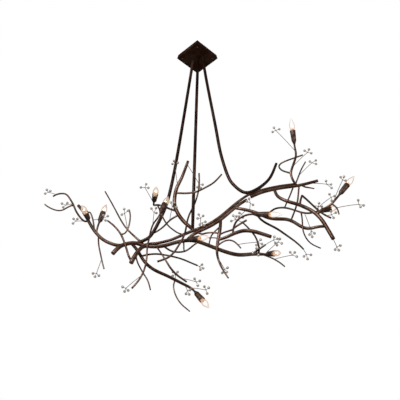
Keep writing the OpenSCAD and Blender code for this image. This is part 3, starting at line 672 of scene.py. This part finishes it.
@dataclass
class Sprigs:
    """Thin wires that fork in three, with a glass bead on each prong.

    Attributes:
        bench: Where its pieces are finished.
        ball_levels: Subdivisions of a bead.
        knot_levels: Subdivisions of the knot where a wire forks.
        wire_r: Radius of a wire.
        prong_r: Radius of a prong at its knot.
        knot_r: Radius of a knot.
        tip_r: Radius of a prong at its bead.
        bow: How high a wire bows, as a share of its length.
        reach: Points of a wire nearer than this belong together.
        sides: Sides of a wire.
        steps: Steps along a wire.
        prong_taper: Share of the radius at each step of a prong but the last.
    """

    bench: Bench
    ball_levels: int = 3
    knot_levels: int = 2
    wire_r: float = 1.7 * MM
    prong_r: float = 1.45 * MM
    knot_r: float = 2.8 * MM
    tip_r: float = 1.2 * MM
    bow: float = 0.022
    reach: float = 3.2 * MM
    sides: int = 8
    steps: int = 10
    prong_taper: Tuple[float, ...] = (1.0, 1.0, 1.0, 0.9)

    @staticmethod
    def shells(node: str) -> List[List[Vector]]:
        """Sorts the points of a CAD node into its separate solids."""
        mesh = Bench.copy_of(node)
        left = set(mesh.verts)
        found = []
        while left:
            shell = [left.pop()]
            for vert in shell:
                for edge in vert.link_edges:
                    other = edge.other_vert(vert)
                    if other in left:
                        left.discard(other)
                        shell.append(other)
            found.append([vert.co.copy() for vert in shell])
        mesh.free()
        return found

    @staticmethod
    def middle(points: Sequence[Vector]) -> Vector:
        """Returns the mean of some points."""
        return sum(points, Vector()) / len(points)

    @staticmethod
    def ball(points: Sequence[Vector]) -> Tuple[Vector, float]:
        """Returns the centre and radius of a ball's points."""
        low = Vector([min(point[k] for point in points) for k in range(3)])
        high = Vector([max(point[k] for point in points) for k in range(3)])
        return (low + high) / 2, min(high - low) / 2

    def tube(self, line: Sequence[Vector], radii: Sequence[float]) -> bmesh.types.BMesh:
        """Draws a round wire along a line of points.

        Args:
            line: The points of its middle line.
            radii: Its radius at each point.

        Returns:
            The closed wire.
        """
        mesh = bmesh.new()
        ring: List[bmesh.types.BMVert] = []
        for number, (point, radius) in enumerate(zip(line, radii)):
            ahead = line[min(number + 1, len(line) - 1)] - line[max(number - 1, 0)]
            turn = ahead.to_track_quat("Z", "Y").to_matrix().to_4x4()
            place = Matrix.Translation(point) @ turn
            fresh = bmesh.ops.create_circle(mesh, cap_ends=number in (0, len(line) - 1),
                                            segments=self.sides, radius=radius,
                                            matrix=place)["verts"]
            if ring:
                edges = {edge for vert in ring + fresh for edge in vert.link_edges
                         if edge.other_vert(vert) in (ring if vert in ring else fresh)}
                bmesh.ops.bridge_loops(mesh, edges=list(edges))
            ring = fresh
        bmesh.ops.recalc_face_normals(mesh, faces=mesh.faces)
        return mesh

    def sprig(self, points: Sequence[Vector], beads: Sequence[Vector]) -> List[bmesh.types.BMesh]:
        """Draws one sprig where the CAD node has it.

        Args:
            points: The points of its CAD solid.
            beads: The centres of its beads.

        Returns:
            Its wire, its knot and its prongs.
        """
        rest = [point for point in points
                if min((point - bead).length for bead in beads) > self.reach]
        heart = self.middle(beads)
        far = max(rest, key=lambda point: (point - heart).length)
        root = [point for point in rest if (point - far).length < 1.4 * self.reach]
        foot = self.middle(root)
        knot = self.middle([point for point in rest if (point - foot).length > 2 * self.reach])
        run = knot - foot
        lift = Vector((0, 0, run.length * self.bow))
        shares = [k / self.steps for k in range(self.steps + 1)]
        line = [foot + run * share + lift * 4 * share * (1 - share) for share in shares]
        parts = [self.tube(line, [self.wire_r] * len(line))]
        ball = bmesh.new()
        bmesh.ops.create_icosphere(ball, subdivisions=self.knot_levels, radius=self.knot_r,
                                   matrix=Matrix.Translation(knot))
        parts.append(ball)
        radii = [self.prong_r * share for share in self.prong_taper] + [self.tip_r]
        for bead in beads:
            prong = [knot + (bead - knot) * (k / 4) for k in range(len(radii))]
            parts.append(self.tube(prong, radii))
        return parts

    def build(self) -> None:
        """Makes every bead and every wire."""
        balls = [self.ball(shell) for shell in self.shells("sprig_beads")]
        glass = []
        for centre, radius in balls:
            ball = bmesh.new()
            bmesh.ops.create_icosphere(ball, subdivisions=self.ball_levels, radius=radius,
                                       matrix=Matrix.Translation(centre))
            glass.append(ball)
        self.bench.finish(self.bench.join(glass), "glass_beads", Finish.BEAD, "frame",
                          "bead_glass", ("sprig_beads",))
        wires: List[bmesh.types.BMesh] = []
        for shell in self.shells("sprig_wires"):
            beads = [centre for centre, _ in balls
                     if min((point - centre).length for point in shell) < self.reach]
            wires += self.sprig(shell, beads)
        self.bench.finish(self.bench.join(wires), "sprig_stalks", Finish.WIRE, "frame",
                          "sprig_wire", ("sprig_wires",))
        LOG.info("placed %d beads", len(balls))


@dataclass
class Lamp:
    """One candle lamp. Heights run along the lamp from its stem's end.

    Attributes:
        bench: Where its pieces are finished.
        number: Its number in the record.
        neck: The joint's place, at the top of the cap.
        along: The direction from its stem to the tip of its flame.
        stem_r: Radius of the cup's foot.
        taper_h: Height of the cup's tapered foot.
        cup_top: Height of the cup's rim.
        cup_r: Radius of the cup's barrel.
        rim_r: Radius of its rolled rim.
        wall: Thickness of the cup.
        floor: Height of the cup's inner floor.
        cap_r: Radius of the screw cap.
        cap_h: Height of the screw cap.
        neck_z: Height of the neck.
        neck_r: Radius of the glass at the neck.
        glass_r: Radius of the glass at its belly.
        glass_h: Height of the glass.
        belly: Place of the belly, as a share of the glass's height.
        skin: Thickness of the glass.
        filament_z: Height of the filament over the neck.
        cup_steps: Steps round the cup and the glass.
        cap_steps: Steps round the cap.
        mount_steps: Steps round the glass mount.
        flame_steps: Steps along the flame.
        pitch: Advance of the thread in a turn.
        turns: Turns of the thread.
        thread_h: Height of the first turn over the cap's foot.
        lead_z: Height of the leads' feet over the neck.
        lead_x: How far a lead stands from the middle.
        lead_lean: How far a lead leans outwards, in radians.
        coil_r: Radius of the filament's coil.
        coil_wire_r: Radius of its wire.
        coil_turns: Turns of the coil.
        coil_steps: Steps along the coil.
        coil_step: Advance of the coil in a step.
        coil_half: Half the coil's length.
    """

    bench: Bench
    number: int
    neck: Vector
    along: Vector
    stem_r: float = 5.9 * MM
    taper_h: float = 20 * MM
    cup_top: float = 84 * MM
    cup_r: float = 14 * MM
    rim_r: float = 16.5 * MM
    wall: float = 2 * MM
    floor: float = 26 * MM
    cap_r: float = 5.95 * MM
    cap_h: float = 24 * MM
    neck_z: float = 79 * MM
    neck_r: float = 6.25 * MM
    glass_r: float = 16 * MM
    glass_h: float = 84 * MM
    belly: float = 0.34
    skin: float = 0.9 * MM
    filament_z: float = 30 * MM
    cup_steps: int = 40
    cap_steps: int = 32
    mount_steps: int = 16
    flame_steps: int = 32
    pitch: float = 2.54 * MM
    turns: int = 6
    thread_h: float = 4 * MM
    lead_z: float = 8 * MM
    lead_x: float = 2.8 * MM
    lead_lean: float = 0.16
    coil_r: float = 1.6 * MM
    coil_wire_r: float = 0.45 * MM
    coil_turns: int = 7
    coil_steps: int = 84
    coil_step: float = 0.105 * MM
    coil_half: float = 4.4 * MM

    def seat(self, mesh: bmesh.types.BMesh) -> bmesh.types.BMesh:
        """Moves a shape from the lamp's own frame to its place on the thicket."""
        turn = Vector((0, 0, 1)).rotation_difference(self.along).to_matrix().to_4x4()
        start = self.neck - self.along * self.neck_z
        bmesh.ops.transform(mesh, matrix=Matrix.Translation(start) @ turn, verts=mesh.verts)
        return mesh

    def cup(self) -> None:
        """Makes the candle cup: a taper, a small ring, a barrel and a rolled rim."""
        lip = self.wall / 2
        turn = [(self.rim_r - lip + lip * math.cos(math.radians(a)),
                 self.cup_top - lip + lip * math.sin(math.radians(a))) for a in range(0, 181, 30)]
        ring = [(self.cup_r - 0.5 * MM + 0.5 * MM * math.cos(math.radians(a)),
                 self.taper_h + 1.6 * MM + 1.2 * MM * math.sin(math.radians(a)))
                for a in range(-90, 91, 30)]
        sweep = [(self.stem_r + (self.cup_r - 0.8 * MM - self.stem_r) * (t / 6) ** 1.15,
                  self.taper_h * t / 6) for t in range(7)]
        outside = [(0.0, 0.0)] + sweep + ring + [(self.cup_r - 0.2 * MM, self.taper_h + 3.6 * MM)]
        inside = [(self.cup_r - self.wall, self.floor + 1 * MM),
                  (self.cup_r - self.wall - 1 * MM, self.floor), (0.0, self.floor)]
        mesh = self.bench.lathe(outside + turn + inside, self.cup_steps)
        self.bench.finish(self.seat(mesh), f"candle_cup_{self.number}", Finish.CUP, "frame",
                          "cup_bronze", (f"cup_{self.number}",))

    def cap(self) -> None:
        """Makes the rolled thread cap with its solder tip."""
        low = self.neck_z - self.cap_h
        thread = []
        for turn in range(self.turns):
            base = low + self.thread_h + turn * self.pitch
            thread += [(self.cap_r - 0.75 * MM, base), (self.cap_r - 0.2 * MM, base + 0.55 * MM),
                       (self.cap_r, base + 1.27 * MM), (self.cap_r - 0.2 * MM, base + 2.0 * MM)]
        tip = [(0.0, low), (self.cap_r * 0.4, low + 0.2 * MM), (self.cap_r * 0.5, low + 1.2 * MM),
               (self.cap_r * 0.85, low + 2.6 * MM)]
        top = [(self.cap_r, low + 20 * MM), (self.cap_r, self.neck_z), (0.0, self.neck_z)]
        mesh = self.bench.lathe(tip + thread + top, self.cap_steps)
        self.bench.finish(self.seat(mesh), f"screw_cap_{self.number}", Finish.BRASS,
                          f"bulb_{self.number}", "cap_brass", (f"cap_{self.number}",))

    def flame(self, inset: float) -> List[Point2]:
        """Returns the flame outline from neck to tip.

        Args:
            inset: How far inside the outer skin it runs.

        Returns:
            Radius and height of each point.
        """
        big, small = self.glass_r - inset, self.neck_r - inset
        outline = []
        for step in range(self.flame_steps + 1):
            share = step / self.flame_steps
            if share < self.belly:
                radius = small + (big - small) * math.sin(math.pi / 2 * share / self.belly)
            else:
                fall = (share - self.belly) / (1 - self.belly)
                radius = big * max(math.cos(math.pi / 2 * fall), 0.0) ** 1.2
            outline.append((radius if step < self.flame_steps else 0.0,
                            self.neck_z + (self.glass_h - inset) * share))
        return outline

    def glass(self) -> None:
        """Makes the thin flame glass, with its height stored for the glow."""
        outside = self.flame(0.0)
        inside = self.flame(self.skin)[::-1]
        mesh = self.bench.lathe(outside + inside + [outside[0]], self.cup_steps)
        share = mesh.verts.layers.float.new("along")
        for vert in mesh.verts:
            vert[share] = (vert.co.z - self.neck_z) / self.glass_h
        self.bench.finish(self.seat(mesh), f"flame_glass_{self.number}", Finish.GLASS,
                          f"bulb_{self.number}", "bulb_glass", (f"glass_{self.number}",))

    def mount(self) -> None:
        """Makes the glass mount and its two leads."""
        shape = ((0.0, 0.0), (3.2, 0.0), (2.4, 6.0), (1.5, 12.0), (1.9, 15.0), (0.0, 16.0))
        profile = [(radius * MM, self.neck_z + height * MM) for radius, height in shape]
        parts = [self.bench.lathe(profile, self.mount_steps)]
        depth = self.filament_z - self.lead_z
        for side in (-1, 1):
            lead = bmesh.new()
            bmesh.ops.create_cone(lead, cap_ends=True, segments=8, radius1=0.4 * MM,
                                  radius2=0.3 * MM, depth=depth)
            place = Matrix.Translation((side * self.lead_x, 0,
                                        self.neck_z + self.lead_z + depth / 2))
            lean = Matrix.Rotation(side * self.lead_lean, 4, "Y")
            bmesh.ops.transform(lead, verts=lead.verts, matrix=place @ lean)
            parts.append(lead)
        self.bench.finish(self.seat(self.bench.join(parts)), f"bulb_mount_{self.number}",
                          Finish.LEAD, f"bulb_{self.number}", "bulb_glass")

    def filament(self) -> None:
        """Makes the coiled filament, across the top of the leads."""
        coil = bmesh.new()
        ring = bmesh.ops.create_circle(coil, cap_ends=False, segments=6,
                                       radius=self.coil_wire_r)["verts"]
        upright = Matrix.Rotation(math.pi / 2, 4, "X")
        bmesh.ops.transform(coil, verts=ring,
                            matrix=Matrix.Translation((self.coil_r, 0, 0)) @ upright)
        bmesh.ops.spin(coil, geom=list(coil.verts) + list(coil.edges), cent=(0, 0, 0),
                       axis=(0, 0, 1), dvec=(0, 0, self.coil_step),
                       angle=self.coil_turns * 2 * math.pi, steps=self.coil_steps, use_merge=False)
        bmesh.ops.recalc_face_normals(coil, faces=coil.faces)
        place = Matrix.Translation((0, 0, self.neck_z + self.filament_z))
        across = Matrix.Rotation(math.pi / 2, 4, "Y")
        centre = Matrix.Translation((0, 0, -self.coil_half))
        bmesh.ops.transform(coil, verts=coil.verts, matrix=place @ across @ centre)
        self.bench.finish(self.seat(coil), f"filament_{self.number}", Finish.GLOW,
                          f"bulb_{self.number}", "bulb_glass")

    def build(self) -> None:
        """Makes the whole lamp."""
        self.cup()
        self.cap()
        self.glass()
        self.mount()
        self.filament()


@dataclass
class Studio:
    """Camera, lights, floor and white surround.

    Attributes:
        eye: The camera's place.
        tilt: How far it looks up, in degrees.
        lens: Its focal length, in millimetres.
        film: The width of its film, in millimetres.
        target: The point that every light faces.
        floor_z: Height of the floor.
        floor_half: Half the floor's side.
        surround: Strength of the surround on surfaces.
        mirrored: Strength of the surround and the floor in mirrored light.
        lift: How much the floor is brightened where the camera sees it.
    """

    eye: Point3 = (0.018, -2.870, -3.152)
    tilt: float = 34.2
    lens: float = 54.45
    film: float = 36.0
    target: Point3 = (0.0, 0.0, -1.4)
    floor_z: float = -3.7
    floor_half: float = 6.0
    surround: float = 0.42
    mirrored: float = 0.05
    lift: float = 0.45

    def camera(self) -> None:
        """Places the camera under and in front of the thicket."""
        data = bpy.data.cameras.new("camera")
        data.lens = self.lens
        data.sensor_width = self.film
        data.sensor_fit = "HORIZONTAL"
        camera = bpy.data.objects.new("camera", data)
        camera.location = self.eye
        camera.rotation_euler = (math.radians(90 + self.tilt), 0, 0)
        bpy.context.scene.collection.objects.link(camera)
        bpy.context.scene.camera = camera

    def world(self) -> None:
        """Makes the surround: white where seen, reflected or seen through, soft on surfaces."""
        world = bpy.data.worlds.new("surround")
        bpy.context.scene.world = world
        world.use_nodes = True
        tree = world.node_tree
        tree.nodes.clear()
        rays = tree.nodes.new("ShaderNodeLightPath")
        camera = Field(tree, rays.outputs["Is Camera Ray"])
        seen = camera + Field(tree, rays.outputs["Is Transmission Ray"])
        gloss = Field(tree, rays.outputs["Is Glossy Ray"])
        open_view = seen.node("ShaderNodeClamp", Value=seen)
        level = (open_view * (1.0 - self.surround) + self.surround
                 + gloss * (self.mirrored - self.surround))
        made = camera.node("ShaderNodeBackground", Color=(1.0, 1.0, 1.0, 1.0), Strength=level)
        output = tree.nodes.new("ShaderNodeOutputWorld")
        tree.links.new(made.socket, output.inputs["Surface"])

    def light(self, name: str, place: Point3, size: float, power: float) -> None:
        """Adds a soft white square light that faces the thicket.

        Args:
            name: Its name.
            place: Where it stands.
            size: Side of its square, in metres.
            power: Its power in watts.
        """
        data = bpy.data.lights.new(name, "AREA")
        data.size = size
        data.energy = power
        light = bpy.data.objects.new(name, data)
        light.location = place
        way = Vector(self.target) - Vector(place)
        light.rotation_euler = way.to_track_quat("-Z", "Y").to_euler()
        bpy.context.scene.collection.objects.link(light)

    def floor(self) -> None:
        """Lays a pale floor under everything."""
        mesh = bmesh.new()
        bmesh.ops.create_grid(mesh, x_segments=8, y_segments=8, size=self.floor_half,
                              matrix=Matrix.Translation((0, 0, self.floor_z)))
        data = bpy.data.meshes.new("floor")
        mesh.to_mesh(data)
        mesh.free()
        floor = bpy.data.objects.new("floor", data)
        face = Surface("floor_paper")
        cloud = face.noise(0.6, 3.0, 0.5)
        rays = face.tree.nodes.new("ShaderNodeLightPath")
        seen = Field(face.tree, rays.outputs["Is Camera Ray"])
        gloss = Field(face.tree, rays.outputs["Is Glossy Ray"])
        paper = cloud.blend((0.84, 0.84, 0.84), (0.88, 0.88, 0.88))
        face.vary(Base_Color=gloss.blend(paper, (self.mirrored,) * 3))
        face.vary(Emission_Color=seen.blend((0.0, 0.0, 0.0), (self.lift,) * 3))
        face.fix(Emission_Strength=1.0)
        face.vary(Roughness=0.8 + cloud * 0.1)
        data.materials.append(face.material)
        bpy.context.scene.collection.objects.link(floor)

    def build(self) -> None:
        """Sets up the whole studio."""
        bpy.context.scene.view_settings.view_transform = "Standard"
        self.camera()
        self.world()
        self.floor()
        self.light("key", (-0.9, -2.5, -0.2), 1.2, 90.0)
        self.light("side", (-2.6, -2.2, 0.2), 2.0, 30.0)
        self.light("fill", (2.8, -2.4, -2.2), 2.4, 40.0)
        self.light("rim", (1.2, 2.8, 0.2), 2.0, 15.0)


def main() -> None:
    """Builds the studio and every piece, in order."""
    logging.basicConfig(level=logging.INFO, format="%(name)s: %(message)s")
    bench = Bench(Palette())
    Studio().build()
    CeilingPan(bench).build()
    Thicket(bench).build()
    Sprigs(bench).build()
    bench.dress("lamp_holders", Finish.PORCELAIN)
    for joint in frame["joints"]:
        number = int(joint["child"].split("_")[1])
        Lamp(bench, number, Vector(joint["pos_m"]), Vector(joint["axis"]).normalized()).build()


if __name__ == "__main__":
    main()
